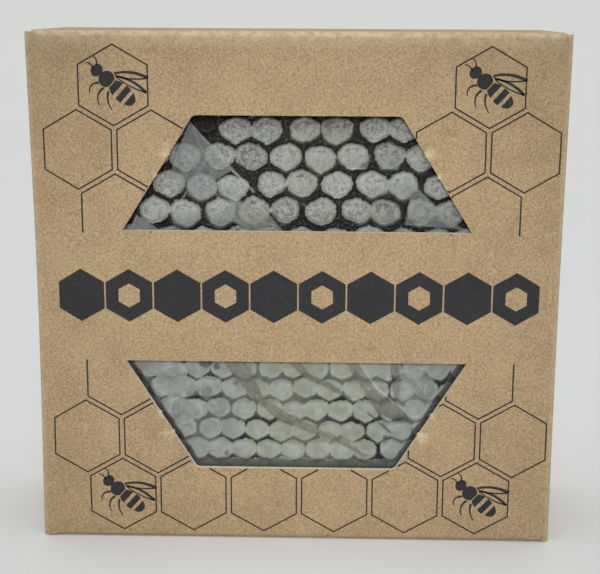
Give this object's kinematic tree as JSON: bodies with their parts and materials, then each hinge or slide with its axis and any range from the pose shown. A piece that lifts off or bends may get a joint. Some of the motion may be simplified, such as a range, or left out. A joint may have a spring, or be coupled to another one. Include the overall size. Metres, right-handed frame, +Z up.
{
  "type": "boxed comb honey",
  "caption": "Flat square kraft carton with a hexagonal window split by a band, holding a film-wrapped slab of capped honeycomb.",
  "frame": {"origin": "middle of the carton's underside", "axes": "+Z up, -Y out of the window in the front face, +X to the right as the window is looked at"},
  "size_m": [0.1104, 0.036, 0.1088],
  "materials": {
    "kraft_board": "matte, natural brown with fibre flecks",
    "clear_film": "clear, creased, glossy",
    "comb_wax": "dull, pale grey cappings over dark honey",
    "printing_ink": "matte black"
  },
  "bodies": {
    "root": {"carton": "kraft_board", "wrapped_comb": "clear_film"}
  },
  "joints": []
}
